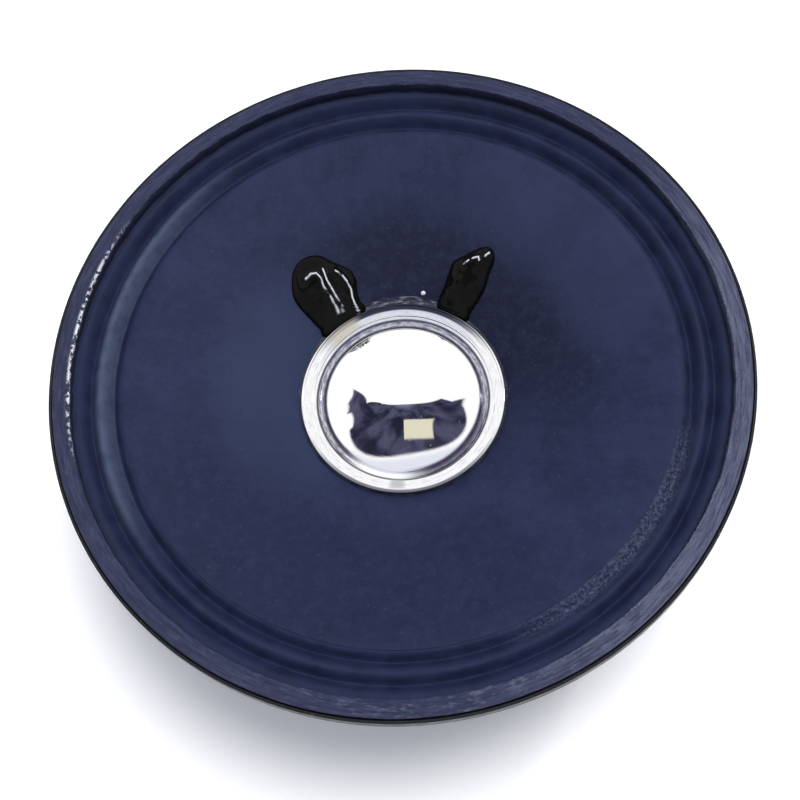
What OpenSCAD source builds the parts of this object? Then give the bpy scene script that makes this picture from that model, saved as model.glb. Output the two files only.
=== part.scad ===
// Round moving-coil loudspeaker driver, 3 inch class.
// Millimetres. The origin is the centre of the back plate's rear face, +Z is the way the sound
// leaves, and the terminals are on the +Y side.

/* [Rim] */
// Outer diameter of the basket's rim
rim_d = 77; // [74:0.5:84]
// Radial width of the gasket ring
gasket_w = 1.65; // [1.2:0.05:2.2]
// Thickness of the gasket ring
gasket_t = 1.5; // [1:0.1:2.5]
// How far the gasket stands above the basket's lip
gasket_proud = 0.2; // [0:0.05:0.6]

/* [Basket] */
// Thickness of the basket's sheet steel
sheet_t = 0.6; // [0.5:0.05:0.9]
// Height from the basket's underside to the seat of the surround
basket_h = 16.1; // [15.5:0.1:19]
// Height of the upright wall below the rim
wall_h = 3.4; // [2.6:0.1:4.5]
// Width of each arm between two windows
arm_w = 10; // [7:0.5:14]
// Number of arms, the first on the +Y side
arms = 4; // [3:1:6]
// Sheet left between a window and the parts beside it
window_margin = 1.6; // [1:0.1:2.4]
// Height of the spider's ledge above the basket's floor
ledge_rise = 3.4; // [3:0.1:4.2]
// Width of the spider's ledge
ledge_w = 3.2; // [2.6:0.1:4]
// Radius of the bends in the sheet
bend_r = 0.7; // [0.5:0.05:0.9]

/* [Magnet system] */
// Diameter of the ferrite ring
magnet_d = 45; // [42:0.5:48]
// Diameter of the ferrite ring's hole
magnet_hole_d = 22; // [20:0.5:26]
// Height of the ferrite ring
magnet_h = 8; // [6:0.5:10]
// Diameter of the two steel plates
plate_d = 41; // [38:0.5:41.5]
// Thickness of the back plate
back_plate_t = 3.5; // [3:0.1:5]
// Thickness of the top plate
top_plate_t = 3.5; // [3:0.1:4.5]
// Diameter of the pole piece
pole_d = 13.2; // [12:0.1:14]
// Diameter of the pole piece's foot in the back plate
pole_foot_d = 9; // [7:0.1:10]
// Free width on each side of the coil in the magnetic gap
gap_clear = 0.4; // [0.3:0.05:0.5]
// Bevel on the edges of the magnet and the plates
edge_bevel = 0.5; // [0.2:0.1:0.8]
// Number of rivets that hold the basket on the top plate
frame_rivets_n = 4; // [3:1:6]
// Diameter of a frame rivet's shank
frame_rivet_d = 2.4; // [2:0.1:2.8]

/* [Voice coil] */
// Wall of the coil's former
former_t = 0.2; // [0.15:0.05:0.3]
// Thickness of the winding
winding_t = 0.35; // [0.25:0.05:0.45]
// How far the coil moves each way before the winding starts to leave the gap
travel = 1.5; // [0.5:0.1:1.8]
// Former left bare below the winding
former_tail = 0.4; // [0.2:0.1:1]
// Diameter of the lead-out wire
wire_d = 0.24; // [0.2:0.02:0.3]

/* [Cone] */
// Diameter of the cone at its outer edge
cone_d = 60.4; // [58:0.2:62]
// Thickness of the cone's paper
cone_t = 0.4; // [0.3:0.05:0.5]
// Height of the neck that is glued to the former
neck_h = 0.8; // [0.5:0.1:1.2]
// How strongly the cone flares towards its neck
flare = 0.7; // [0.3:0.1:1.4]

/* [Surround and spider] */
// Thickness of the surround
surround_t = 0.4; // [0.3:0.05:0.5]
// Radial width of the surround's flat rim
surround_flat_w = 1.9; // [1.6:0.05:2.3]
// Depth of the surround's grooves
groove_depth = 1.1; // [0.7:0.1:1.3]
// Number of grooves
grooves = 2; // [1:1:3]
// Overlap of the surround behind the cone
lap_w = 1.4; // [1:0.1:2]
// Distance from the cone's edge to the surround's first crest
crest_w = 0.6; // [0.5:0.05:0.9]
// Depth of the cone's edge below the surround's flat rim
edge_drop = 0.8; // [0.4:0.1:1.4]
// Thickness of the spider
spider_t = 0.35; // [0.25:0.05:0.45]
// Height of the spider's waves, from the middle to a crest
wave_a = 0.6; // [0.4:0.05:0.8]
// Number of waves in the spider
waves = 3; // [2:1:4]

/* [Dust cap] */
// Diameter of the cap over its flange
cap_d = 23.5; // [22:0.1:25]
// Diameter of the dome over its foot
dome_d = 18.2; // [17.4:0.2:18.6]
// Height of the dome above the channel round it
dome_h = 3.3; // [2.8:0.1:4.5]
// How far the dome's round nose reaches before its side runs nearly straight
dome_nose = 1.6; // [1:0.1:5]
// Width and height of the short steep foot round the dome
dome_foot = 0.35; // [0.3:0.05:0.6]
// Width of the channel round the dome
channel_w = 0.55; // [0.45:0.05:0.8]
// Slope of the flange, its outer edge higher
flange_slope = 28; // [20:1:30]
// Thickness of the cap's metal
cap_t = 0.35; // [0.25:0.05:0.45]
// Thickness of the glue under the flange
glue_t = 0.36; // [0.34:0.02:0.44]
// Glue that shows outside the flange
glue_w = 0.6; // [0.3:0.1:1]

/* [Lead dabs] */
// Angle of each dab from the +Y side
dab_angle = 33; // [28:0.5:40]
// Length of a dab from the cap's edge outwards
dab_l = 7.6; // [5.5:0.1:8.6]
// Width of a dab
dab_w = 6; // [4:0.1:7]
// Height of a dab above the cone
dab_h = 1.5; // [1.2:0.1:2]

/* [Terminals] */
// Length of the terminal board
board_w = 22; // [20:0.5:24]
// Width of the terminal board, along the arm
board_l = 9; // [8:0.5:10]
// Thickness of the terminal board
board_t = 1.6; // [1.2:0.1:2]
// Distance between the two lugs
lug_pitch = 16; // [15:0.5:17]
// Width of a lug
lug_w = 3; // [2.4:0.1:3.6]
// Thickness of a lug
lug_t = 0.5; // [0.4:0.05:0.7]
// Diameter of the wire hole in a lug
lug_hole_d = 1.5; // [1.2:0.1:1.6]
// Distance of a lug's tip inside the rim
tip_inset = 1; // [0.5:0.1:2]
// Diameter of the board rivet's shank
board_rivet_d = 2.4; // [2:0.1:2.8]
// Diameter of a braided lead
lead_d = 0.9; // [0.7:0.05:1]

/* [Hidden] */
$fn = 96;

// Small working distances: glued or wound faces, loose fits, and how far a cut runs past a face
seat = 0.02;
slip = 0.05;
over = 1;

// Basket floor: steel left bare round the gap, sheet round a rivet's head, and the riser's foot and lean
floor_setback = 1.5;
rivet_margin = 0.6;
riser_margin = 1.6;
riser_lean = 0.6;

// Rivet heads: how far they reach past the shank, and their heights
frame_rivet_head_w = 0.8;
frame_rivet_head_h = 0.7;
board_rivet_head_w = 1;
board_rivet_head_h = 0.6;

// The pole stands above the top plate, and the former above the cone's neck
pole_proud = 0.2;
neck_gap = 0.1;
former_bare = 1;

// Radii from the pole outwards
pole_r = pole_d / 2;
former_in = pole_r + gap_clear;
former_out = former_in + former_t;
winding_out = former_out + winding_t;
plate_hole_r = winding_out + gap_clear;
wire_r = wire_d / 2;
wire_at = former_out + wire_r;
rim_r = rim_d / 2;
lip_in = rim_r - sheet_t;
gasket_r = lip_in - 2 * slip;
surround_r = lip_in - bend_r + sheet_t / 2;
hinge_r = surround_r - surround_flat_w;
wall_in = hinge_r + 2 * slip;
cone_r = cone_d / 2;
crest_r = cone_r + crest_w;
cap_r = cap_d / 2;
dome_r = dome_d / 2;

// Rivets in the basket's floor, just outside the gap
floor_hole_r = plate_hole_r + floor_setback;
frame_rivet_r = frame_rivet_d / 2;
frame_rivet_head_r = frame_rivet_r + frame_rivet_head_w;
frame_rivets_at = floor_hole_r + frame_rivet_head_r + rivet_margin;
riser_r = frame_rivets_at + frame_rivet_head_r + riser_margin;
ledge_in = riser_r + riser_lean;
ledge_out = ledge_in + ledge_w;
window_in = ledge_out + window_margin;
window_out = wall_in - window_margin;

// Heights from the rear face upwards
magnet_z = back_plate_t;
top_plate_z = magnet_z + magnet_h;
floor_z = top_plate_z + top_plate_t;
floor_top_z = floor_z + sheet_t;
ledge_z = floor_top_z + ledge_rise;
spider_z = ledge_z + spider_t / 2;
pan_z = floor_z + basket_h;
surround_top_z = pan_z + surround_t;
gasket_top_z = surround_top_z + gasket_t;
lip_z = gasket_top_z - gasket_proud;
wall_z = pan_z - sheet_t - wall_h;
pole_top_z = floor_z + pole_proud;
winding_z = top_plate_z - travel;
winding_top_z = floor_z + travel;
former_z = winding_z - former_tail;
neck_z = ledge_z + spider_t + neck_gap;
former_top_z = neck_z + neck_h + former_bare;

// The cone's middle line, from the neck (0) to the edge (1)
neck_r = former_out + cone_t / 2 + seat;
neck_top_z = neck_z + neck_h;
cone_edge_z = surround_top_z - edge_drop - cone_t / 2;
function cone_z(r) =
    let (u = (cone_r - r) / (cone_r - neck_r))
    cone_edge_z - (cone_edge_z - neck_top_z) * (exp(flare * u) - 1) / (exp(flare) - 1);
function cone_slope(r) = atan((cone_z(r + slip) - cone_z(r - slip)) / (2 * slip));
function cone_face(r, h) = [r - h * sin(cone_slope(r)), cone_z(r) + h * cos(cone_slope(r))];
cone_steps = 14;
cone_line = concat(
    [[neck_r, neck_z]],
    [for (i = [0:cone_steps]) let (r = neck_r + (cone_r - neck_r) * i / cone_steps) [r, cone_z(r)]]
);

// The outer edge of the dust cap's flange lies on the cone, over its glue
cap_h = cone_t / 2 + glue_t + cap_t / 2;
channel_out = dome_r + channel_w;
channel_wall = 0.25;
flange_in = channel_out + channel_wall;
function over_cone(r, h) = cone_z(r) + h / cos(cone_slope(r));
channel_z = over_cone(channel_out, cap_h);
flange_z = over_cone(cap_r, cap_h);
function flange_at(r, h) = [r, flange_z - (cap_r - r) * tan(flange_slope) + h / cos(flange_slope)];
dome_edge = dome_r - dome_foot;
function nose_drop(r) = sqrt(1 + pow(r / dome_nose, 2)) - 1;
function dome_at(r) = [
    r,
    channel_z + dome_h - (dome_h - dome_foot) * nose_drop(r) / nose_drop(dome_edge)
];
dome_steps = 14;
glue_reach = 1.3;

// The terminal board lies on the outside of the first arm, a little below its middle
board_shift = 1;
arm_slope = atan((wall_z - ledge_z + sheet_t / 2) / (wall_in + sheet_t / 2 - ledge_out));
board_y = (window_in + window_out) / 2 - board_shift;
arm_mid_z = ledge_z - sheet_t / 2 + (board_y - ledge_out) * tan(arm_slope);
board_top_z = arm_mid_z - (sheet_t / 2 + slip) / cos(arm_slope);
lug_x = lug_pitch / 2;
lug_tip_y = sqrt(pow(rim_r - tip_inset, 2) - pow(lug_x + lug_w / 2, 2));
lug_hole_y = lug_tip_y - lug_w / 2;
lug_bend = board_l / 2 + lug_t;
lug_mid = -board_t - lug_t / 2 - seat;
lug_bend_y = board_y + lug_bend * cos(arm_slope) - lug_mid * sin(arm_slope);
lug_z = board_top_z + lug_bend * sin(arm_slope) + lug_mid * cos(arm_slope);

// A lug's hollow barrel is turned over above the board, under a bead of solder
barrel_r = 1;
barrel_h = 0.3;
barrel_y = -board_l / 4;
lug_foot_at = barrel_y - lug_w / 2;
lug_foot = [
    board_y + lug_foot_at * cos(arm_slope) - lug_mid * sin(arm_slope),
    board_top_z + lug_foot_at * sin(arm_slope) + lug_mid * cos(arm_slope)
];
solder_r = 1.7;
solder_h = 1.5;

// The braided lead's ends: its stub under the dab, the straight runs and the foot in the solder
lead_stub = 0.7;
lead_straight = 0.6;
lead_foot = 0.9;
lead_rise = 1.2;

// The lead's joint on the cone, near the middle of the dab, and its route to the lug
lead_r = lead_d / 2;
lead_at = cap_r + glue_w + dab_l / 2;
lead_top_z = cone_face(lead_at, cone_t / 2)[1] + lead_stub;
lead_start = [lead_at * sin(dab_angle), lead_at * cos(dab_angle), lead_top_z];
lead_through = [lead_start[0], lead_start[1], cone_face(lead_at, -cone_t / 2)[1] - lead_straight];
arm_up = [0, -sin(arm_slope), cos(arm_slope)];
arm_along = [0, cos(arm_slope), sin(arm_slope)];
lead_end = [lug_x, board_y, board_top_z] + barrel_y * arm_along + lead_foot * arm_up;
lead_over = lead_end + lead_rise * arm_up;
lead_drop = 4.2;
lead_loft = 3.6;
lead_rings = 22;

// The coil's lead-out bends from the former on to the cone
wire_bend_w = 0.5;
wire_bend_h = 0.75;
wire_steps = 9;

// The spider's flat collar and flat outer edge, and the glue in the cone's neck
spider_collar = 1.4;
spider_inset = 0.2;
wave_steps = 8;
neck_glue_w = 1;

// A dab is widest at this share of its length, and its heel is smaller by these shares
dab_belly = 0.4;
dab_heel_r = 0.75;
dab_heel_h = 0.8;

// Directions, offsets and tubes
function unit(v) = v / norm(v);
function left_of(a, b) = let (d = unit(b - a)) [-d[1], d[0]];
function corner_normal(p, i) =
    let (
        last = len(p) - 1,
        before = left_of(p[max(i - 1, 0)], p[max(i, 1)]),
        after = left_of(p[min(i, last - 1)], p[min(i + 1, last)]),
        mid = unit(before + after)
    )
    p[i][0] == 0 ? [0, sign(mid[1])] : mid / (mid * before);
function offset_line(p, h) = [for (i = [0:len(p) - 1]) p[i] + h * corner_normal(p, i)];
function backwards(p) = [for (i = [len(p) - 1:-1:0]) p[i]];
function sheet(p, t) = concat(offset_line(p, t / 2), backwards(offset_line(p, -t / 2)));

// A line whose corners are turned into short curves of about radius r
function bent(p, r, n = 3) = concat(
    [p[0]],
    [
        for (i = [1:len(p) - 2], k = [0:n])
            let (
                a = p[i] + min(r, norm(p[i - 1] - p[i]) * 0.45) * unit(p[i - 1] - p[i]),
                b = p[i] + min(r, norm(p[i + 1] - p[i]) * 0.45) * unit(p[i + 1] - p[i]),
                t = k / n
            )
            (1 - t) * (1 - t) * a + 2 * t * (1 - t) * p[i] + t * t * b
    ],
    [p[len(p) - 1]]
);

// A point on a smooth curve with two ends and two handles
function curve_point(a, b, c, d, t) =
    pow(1 - t, 3) * a + 3 * t * pow(1 - t, 2) * b + 3 * t * t * (1 - t) * c + pow(t, 3) * d;

// The outline of a low round head of radius r that stands h above the height z
function head(r, z, h) = [for (a = [0:22.5:90]) [r * cos(a), z + h * sin(a)]];

module spun(p) rotate_extrude() polygon(p);

module ring(r_out, r_in, h) {
    difference() {
        cylinder(r = r_out, h = h);
        translate([0, 0, -over])
            cylinder(r = r_in, h = h + 2 * over);
    }
}

// A disc with both outer edges bevelled
module bevelled_disc(r, h, bevel) {
    spun([[0, 0], [r - bevel, 0], [r, bevel], [r, h - bevel], [r - bevel, h], [0, h]]);
}

// A tube along p. flat is square to the plane in which the tube mainly runs
module tube(p, r, flat, sides = 8) {
    last = len(p) - 1;
    rings = [
        for (i = [0:last])
            let (
                along = unit(p[min(i + 1, last)] - p[max(i - 1, 0)]),
                across = unit(cross(along, flat)),
                up = cross(across, along)
            )
            for (k = [0:sides - 1])
                p[i] + r * (cos(360 * k / sides) * across + sin(360 * k / sides) * up)
    ];
    walls = [
        for (i = [0:last - 1], k = [0:sides - 1], half = [0, 1])
            let (
                a = i * sides + k,
                b = i * sides + (k + 1) % sides,
                c = a + sides,
                d = b + sides
            )
            half == 0 ? [a, b, d] : [a, d, c]
    ];
    first_end = [for (k = [1:sides - 2]) [0, k + 1, k]];
    last_end = [for (k = [1:sides - 2]) [last * sides, last * sides + k, last * sides + k + 1]];
    polyhedron(rings, concat(walls, first_end, last_end), convexity = 8);
}

// Copies for the arms: the first on the +Y side
module round_about(n) {
    for (i = [0:n - 1])
        rotate([0, 0, 90 + 360 * i / n])
            children();
}

// side is -1 on the left and 1 on the right. The child's +X becomes the dab's direction
module at_dab(side) {
    rotate([0, 0, 90 - side * dab_angle])
        children();
}

// The terminal board's own frame: its top face, +Y up the arm
module on_arm() {
    translate([0, board_y, board_top_z])
        rotate([arm_slope, 0, 0])
            children();
}

// Magnet system
module back_plate() {
    color("#b9bcbf")
        difference() {
            bevelled_disc(plate_d / 2, back_plate_t, edge_bevel);
            translate([0, 0, -over])
                cylinder(d = pole_foot_d, h = back_plate_t + 2 * over);
        }
}

module pole_piece() {
    color("#a9adb1")
        spun([
            [0, edge_bevel],
            [pole_foot_d / 2, edge_bevel],
            [pole_foot_d / 2, back_plate_t],
            [pole_r, back_plate_t],
            [pole_r, pole_top_z - edge_bevel],
            [pole_r - edge_bevel, pole_top_z],
            [0, pole_top_z]
        ]);
}

module magnet_ring() {
    color("#33363a")
        translate([0, 0, magnet_z])
            difference() {
                bevelled_disc(magnet_d / 2, magnet_h, edge_bevel);
                translate([0, 0, -over])
                    cylinder(d = magnet_hole_d, h = magnet_h + 2 * over);
            }
}

module top_plate() {
    color("#b9bcbf")
        difference() {
            translate([0, 0, top_plate_z])
                bevelled_disc(plate_d / 2, top_plate_t, edge_bevel);
            translate([0, 0, top_plate_z - over])
                cylinder(r = plate_hole_r, h = top_plate_t + 2 * over);
            frame_rivet_holes();
        }
}

// Basket and its rivets
module frame_rivet_holes() {
    round_about(frame_rivets_n)
        translate([frame_rivets_at, 0, top_plate_z - over])
            cylinder(r = frame_rivet_r, h = top_plate_t + sheet_t + 2 * over);
}

module frame_rivets() {
    color("#8f9396")
        round_about(frame_rivets_n)
            translate([frame_rivets_at, 0, 0])
                spun(concat(
                    [[0, top_plate_z], [frame_rivet_r, top_plate_z], [frame_rivet_r, floor_top_z]],
                    head(frame_rivet_head_r, floor_top_z, frame_rivet_head_h)
                ));
}

module basket() {
    line = bent([
        [floor_hole_r, floor_z + sheet_t / 2],
        [riser_r, floor_z + sheet_t / 2],
        [ledge_in, ledge_z - sheet_t / 2],
        [ledge_out, ledge_z - sheet_t / 2],
        [wall_in + sheet_t / 2, wall_z],
        [wall_in + sheet_t / 2, pan_z - sheet_t / 2],
        [rim_r - sheet_t / 2, pan_z - sheet_t / 2],
        [rim_r - sheet_t / 2, lip_z]
    ], bend_r);
    color("#1b1c1f")
        difference() {
            spun(sheet(line, sheet_t));
            frame_rivet_holes();
            basket_windows();
            on_arm()
                translate([0, 0, -over])
                    cylinder(d = board_rivet_d, h = sheet_t + 3 * over);
        }
}

module basket_windows() {
    difference() {
        translate([0, 0, ledge_z - 2 * sheet_t])
            ring(window_out, window_in, wall_z - ledge_z + 4 * sheet_t);
        round_about(arms)
            translate([0, -arm_w / 2, 0])
                cube([rim_r, arm_w, pan_z]);
    }
}

// Terminals
module terminal_board() {
    color("#6b4a2b")
        on_arm()
            difference() {
                translate([-board_w / 2, -board_l / 2, -board_t])
                    cube([board_w, board_l, board_t]);
                translate([0, 0, -board_t - over])
                    cylinder(d = board_rivet_d, h = board_t + 2 * over);
                for (side = [-1, 1])
                    translate([side * lug_x, barrel_y, -board_t - over])
                        cylinder(r = barrel_r, h = board_t + 2 * over);
            }
}

module board_rivet() {
    shank_r = board_rivet_d / 2;
    head_r = shank_r + board_rivet_head_w;
    head_z = sheet_t + 2 * slip;
    color("#c2a14d")
        on_arm()
            spun(concat(
                backwards(head(head_r, -board_t, -board_rivet_head_h)),
                [[shank_r, -board_t], [shank_r, head_z]],
                head(head_r, head_z, board_rivet_head_h)
            ));
}

// A lug is one bent strip with a round eye at its tip and a barrel at its foot
module terminal_lug(side) {
    line = bent([lug_foot, [lug_bend_y, lug_z], [lug_hole_y, lug_z]], lug_t);
    translate([side * lug_x, 0, 0])
        difference() {
            union() {
                translate([-lug_w / 2, 0, 0])
                    rotate([90, 0, 90])
                        linear_extrude(lug_w)
                            polygon(sheet(line, lug_t));
                translate([0, lug_hole_y, lug_z - lug_t / 2])
                    cylinder(d = lug_w, h = lug_t);
                on_arm()
                    translate([0, barrel_y, lug_mid])
                        cylinder(r = barrel_r, h = barrel_h - lug_mid);
            }
            translate([0, lug_hole_y, lug_z - lug_t / 2 - over])
                cylinder(d = lug_hole_d, h = lug_t + 2 * over);
        }
}

module terminal_lug_left() color("#c9ccd0") terminal_lug(-1);
module terminal_lug_right() color("#c9ccd0") terminal_lug(1);

module solder(side) {
    on_arm()
        translate([side * lug_x, barrel_y, 0])
            difference() {
                spun(concat(
                    [[0, barrel_h], [barrel_r, barrel_h], [barrel_r, 0]],
                    head(solder_r, 0, solder_h)
                ));
                translate([0, 0, lead_foot])
                    cylinder(r = lead_r + seat, h = solder_h);
            }
}

module solder_left() color("#aeb2b6") solder(-1);
module solder_right() color("#aeb2b6") solder(1);

// The braided lead stands in the solder, bends over and passes up through the cone
module braided_lead(side) {
    leaving = lead_through - [0, 0, lead_drop];
    landing = lead_over + lead_loft * arm_up;
    free = [
        for (i = [0:lead_rings])
            curve_point(lead_through, leaving, landing, lead_over, i / lead_rings)
    ];
    line = concat([lead_start], free, [lead_end]);
    tube([for (p = line) [side * p[0], p[1], p[2]]], lead_r, [1, 0, 0]);
}

module braided_lead_left() color("#b06a3c") braided_lead(-1);
module braided_lead_right() color("#b06a3c") braided_lead(1);

module lead_holes(r) {
    for (side = [-1, 1])
        translate([side * lead_start[0], lead_start[1], neck_z])
            cylinder(r = r, h = lead_top_z - neck_z + slip);
}

// Voice coil
module voice_coil_former() {
    color("#b98a4a")
        translate([0, 0, former_z])
            ring(former_out, former_in, former_top_z - former_z);
}

module voice_coil_winding() {
    color("#b5592b")
        translate([0, 0, winding_z])
            ring(winding_out, former_out, winding_top_z - winding_z);
}

// A lead-out climbs the former, then lies on the cone as far as the braided lead
module coil_wire(side, r) {
    far = lead_at - lead_r - wire_r - slip;
    near = wire_at + wire_bend_w;
    climb = [[wire_at, winding_top_z], [wire_at, ledge_z], [wire_at, neck_top_z + wire_bend_h]];
    lie = [
        for (i = [0:wire_steps])
            cone_face(near + (far - near) * i / wire_steps, cone_t / 2 + wire_r + seat)
    ];
    at_dab(side)
        tube([for (p = concat(climb, lie)) [p[0], 0, p[1]]], r, [0, 1, 0]);
}

module coil_wire_left() color("#a34722") coil_wire(-1, wire_r);
module coil_wire_right() color("#a34722") coil_wire(1, wire_r);

module coil_wire_room() {
    coil_wire(-1, wire_r + slip);
    coil_wire(1, wire_r + slip);
}

// Moving paper parts
module spider() {
    inner = former_out + seat;
    first = inner + spider_collar;
    last = ledge_in - spider_inset;
    steps = waves * wave_steps;
    line = concat(
        [[inner, spider_z]],
        [
            for (i = [0:steps])
                let (u = i / steps, fade = min(1, 2 * waves * u, 2 * waves * (1 - u)))
                [first + (last - first) * u, spider_z + wave_a * fade * sin(360 * waves * u)]
        ],
        [[ledge_out - bend_r, spider_z]]
    );
    color("#a87b3f")
        difference() {
            spun(sheet(line, spider_t));
            coil_wire_notches(spider_z - wave_a, spider_z + wave_a);
        }
}

module coil_wire_notches(low, high) {
    for (side = [-1, 1])
        at_dab(side)
            translate([wire_at, 0, low])
                cylinder(r = wire_r + slip, h = high - low, $fn = 24);
}

module cone() {
    color("#2e3450")
        difference() {
            spun(sheet(cone_line, cone_t));
            coil_wire_room();
            lead_holes(lead_r + slip);
        }
}

// Everything behind the cone's front face, for cutting what lies on it
module behind_cone() {
    front = [for (i = [1:len(cone_line) - 1]) cone_face(cone_line[i][0], cone_t / 2)];
    last = front[len(front) - 1];
    spun(concat(
        [[former_out, 0], [former_out, front[0][1]]],
        front,
        [[last[0], 0]]
    ));
}

module neck_glue() {
    low = cone_face(neck_r + neck_glue_w, cone_t / 2);
    color("#4a3a22")
        difference() {
            spun([
                [former_out, neck_top_z],
                [low[0], low[1]],
                [former_out, low[1] + neck_gap]
            ]);
            behind_cone();
            coil_wire_room();
        }
}

module surround() {
    span = hinge_r - crest_r;
    steps = grooves * wave_steps;
    lap_end = crest_w / 3;
    flat_z = pan_z + surround_t / 2;
    lap_h = -(cone_t + surround_t) / 2 - seat;
    drop = flat_z - cone_edge_z;
    lap_steps = 3;
    line = concat(
        [
            for (i = [0:lap_steps])
                cone_face(cone_r - lap_w + (lap_w + lap_end) * i / lap_steps, lap_h)
        ],
        [
            for (i = [0:steps])
                let (u = i / steps)
                [
                    crest_r + span * u,
                    flat_z - drop * (1 - u) - groove_depth * (1 - cos(360 * grooves * u)) / 2
                ]
        ],
        [[surround_r, flat_z]]
    );
    color("#252a44")
        spun(sheet(line, surround_t));
}

module gasket_ring() {
    color("#434a66")
        translate([0, 0, surround_top_z])
            ring(gasket_r, gasket_r - gasket_w, gasket_t);
}

// Dust cap, its glue and the dabs over the lead joints
module dust_cap() {
    last = dome_steps - 1;
    dome = [for (i = [0:last - 1]) dome_at(dome_edge * i / dome_steps)];
    channel = bent([
        dome_at(dome_edge * last / dome_steps),
        dome_at(dome_edge),
        [dome_r, channel_z],
        [channel_out, channel_z],
        flange_at(flange_in, 0),
        flange_at(cap_r, 0)
    ], channel_w / 4, 2);
    line = concat(dome, channel);
    color("#d9dbde")
        spun(sheet(line, cap_t));
}

// A wedge under the flange, with a fillet that shows outside it
module cap_glue() {
    low = cone_t / 2;
    under = -cap_t / 2 - seat;
    in_r = cap_r - glue_reach;
    color("#8d94a8")
        difference() {
            spun([
                flange_at(in_r, under),
                flange_at(cap_r - 2 * slip, under),
                cone_face(cap_r + glue_w, low),
                [cap_r + glue_w, 0],
                [in_r, 0]
            ]);
            behind_cone();
            coil_wire_room();
        }
}

module lead_dab(side) {
    start = cap_r + glue_w;
    ball_r = (dab_w * dab_w / 4 + dab_h * dab_h) / (2 * dab_h);
    difference() {
        at_dab(side)
            hull() {
                dab_ball(start + dab_l - dab_w / 2, ball_r, dab_h);
                dab_ball(start + dab_l * dab_belly, ball_r, dab_h);
                dab_ball(start, ball_r * dab_heel_r, dab_h * dab_heel_h);
            }
        cylinder(r = start, h = gasket_top_z);
        behind_cone();
        coil_wire_room();
        lead_holes(lead_r + slip);
    }
}

// A ball that stands h out of the cone's face at radius r
module dab_ball(r, ball_r, h) {
    p = cone_face(r, cone_t / 2 + h - ball_r);
    translate([p[0], 0, p[1]])
        sphere(r = ball_r, $fn = 32);
}

module lead_dab_left() color("#17181a") lead_dab(-1);
module lead_dab_right() color("#17181a") lead_dab(1);

back_plate();
pole_piece();
magnet_ring();
top_plate();
basket();
frame_rivets();
terminal_board();
board_rivet();
terminal_lug_left();
terminal_lug_right();
solder_left();
solder_right();
braided_lead_left();
braided_lead_right();
voice_coil_former();
voice_coil_winding();
coil_wire_left();
coil_wire_right();
spider();
cone();
neck_glue();
surround();
gasket_ring();
dust_cap();
cap_glue();
lead_dab_left();
lead_dab_right();
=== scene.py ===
from math import asin, atan, cos, exp, hypot, pi, radians, sin, sqrt, tan

import bmesh
import bpy
import numpy as np
from numpy.linalg import norm
from mathutils import Matrix, Quaternion, Vector, noise


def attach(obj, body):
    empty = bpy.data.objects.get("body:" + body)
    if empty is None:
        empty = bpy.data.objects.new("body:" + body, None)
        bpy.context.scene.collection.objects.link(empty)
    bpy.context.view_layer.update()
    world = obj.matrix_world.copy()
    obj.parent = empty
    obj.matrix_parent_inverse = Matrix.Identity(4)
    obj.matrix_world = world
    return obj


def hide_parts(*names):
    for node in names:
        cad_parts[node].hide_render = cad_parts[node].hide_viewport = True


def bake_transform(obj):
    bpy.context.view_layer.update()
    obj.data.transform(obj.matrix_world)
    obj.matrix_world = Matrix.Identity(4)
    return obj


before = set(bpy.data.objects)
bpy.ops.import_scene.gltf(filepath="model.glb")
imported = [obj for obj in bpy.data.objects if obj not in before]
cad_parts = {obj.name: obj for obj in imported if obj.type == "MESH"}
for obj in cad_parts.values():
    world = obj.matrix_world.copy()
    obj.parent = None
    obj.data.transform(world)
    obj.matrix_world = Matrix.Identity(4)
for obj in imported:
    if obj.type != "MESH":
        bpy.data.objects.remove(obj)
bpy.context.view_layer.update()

# Lengths below are in millimetres, and are turned into metres where a mesh is made
MM = 0.001
TAU = 2 * pi
QUARTER = TAU / 4

# Camera: what it looks at, its turns in degrees, how far it stands off and its lens
CAMERA_AIM = Vector((0.13, -4.38, 33.0))
AZIMUTH, ELEVATION, ROLL = (radians(turn) for turn in (6.75, 67.51, -10.65))
CAMERA_DISTANCE = 142.45
CAMERA_LENS = 59.73


def add_object(name, data):
    made = bpy.data.objects.new(name, data)
    bpy.context.collection.objects.link(made)
    return made


def make_camera():
    ahead = Vector((-sin(AZIMUTH) * cos(ELEVATION), cos(AZIMUTH) * cos(ELEVATION), -sin(ELEVATION)))
    data = bpy.data.cameras.new("camera")
    data.sensor_width = 36
    data.lens = CAMERA_LENS
    data.clip_start = 0.001
    camera = add_object("camera", data)
    camera.location = (CAMERA_AIM - CAMERA_DISTANCE * ahead) * MM
    camera.rotation_mode = "QUATERNION"
    camera.rotation_quaternion = ahead.to_track_quat("-Z", "Y") @ Quaternion((0, 0, 1), ROLL)
    bpy.context.scene.camera = camera


make_camera()
bpy.context.scene.view_settings.view_transform = "Standard"


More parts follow.
